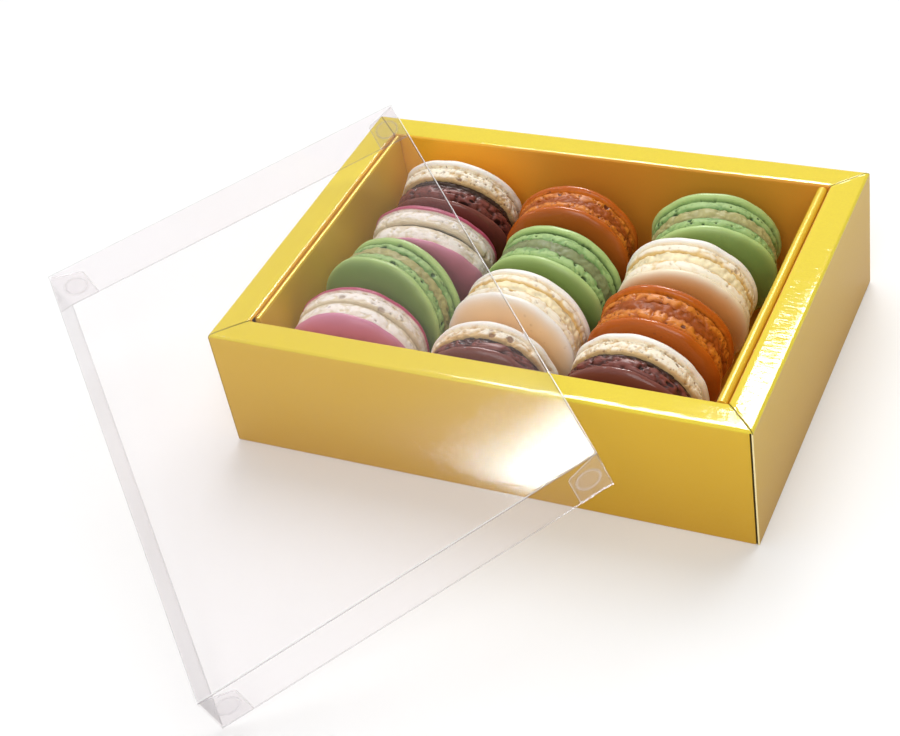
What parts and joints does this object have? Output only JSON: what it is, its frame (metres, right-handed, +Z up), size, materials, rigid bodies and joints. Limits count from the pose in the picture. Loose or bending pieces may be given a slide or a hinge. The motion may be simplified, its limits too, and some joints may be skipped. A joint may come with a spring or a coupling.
{
  "type": "macaron box",
  "caption": "Gold card gift box holding rows of two-shell filled macarons on edge, with its clear folded lid leaning open on one corner.",
  "frame": {"origin": "middle of the box's flat underside, on the surface it rests on", "axes": "+X along the box's front edge to the right, +Y from its front to its back, +Z up"},
  "size_m": [0.2518, 0.2425, 0.0712],
  "materials": {
    "gold_card": "glossy coated card",
    "clear_film": "clear glossy film",
    "cream_shell": "baked, satin",
    "green_shell": "baked, satin",
    "orange_shell": "baked, satin",
    "brown_shell": "baked, satin",
    "pink_shell": "baked, satin",
    "beige_filling": "soft cream",
    "olive_filling": "soft cream",
    "butter_filling": "soft cream",
    "caramel_filling": "soft cream",
    "dark_filling": "soft cream"
  },
  "bodies": {
    "root": {"box_tray": "gold_card", "left_inner_strip": "gold_card", "right_inner_strip": "gold_card", "clear_lid": "clear_film", "macaron_01_back_shell": "cream_shell", "macaron_01_filling": "dark_filling", "macaron_01_front_shell": "brown_shell", "macaron_02_back_shell": "pink_shell", "macaron_02_filling": "dark_filling", "macaron_02_front_shell": "pink_shell", "macaron_03_back_shell": "green_shell", "macaron_03_filling": "beige_filling", "macaron_03_front_shell": "green_shell", "macaron_04_back_shell": "pink_shell", "macaron_04_filling": "dark_filling", "macaron_04_front_shell": "pink_shell", "macaron_05_back_shell": "orange_shell", "macaron_05_filling": "caramel_filling", "macaron_05_front_shell": "orange_shell", "macaron_06_back_shell": "green_shell", "macaron_06_filling": "olive_filling", "macaron_06_front_shell": "green_shell", "macaron_07_back_shell": "cream_shell", "macaron_07_filling": "butter_filling", "macaron_07_front_shell": "cream_shell", "macaron_08_back_shell": "cream_shell", "macaron_08_filling": "dark_filling", "macaron_08_front_shell": "brown_shell", "macaron_09_back_shell": "green_shell", "macaron_09_filling": "beige_filling", "macaron_09_front_shell": "green_shell", "macaron_10_back_shell": "cream_shell", "macaron_10_filling": "butter_filling", "macaron_10_front_shell": "cream_shell", "macaron_11_back_shell": "orange_shell", "macaron_11_filling": "caramel_filling", "macaron_11_front_shell": "orange_shell", "macaron_12_back_shell": "cream_shell", "macaron_12_filling": "dark_filling", "macaron_12_front_shell": "brown_shell"}
  },
  "joints": []
}
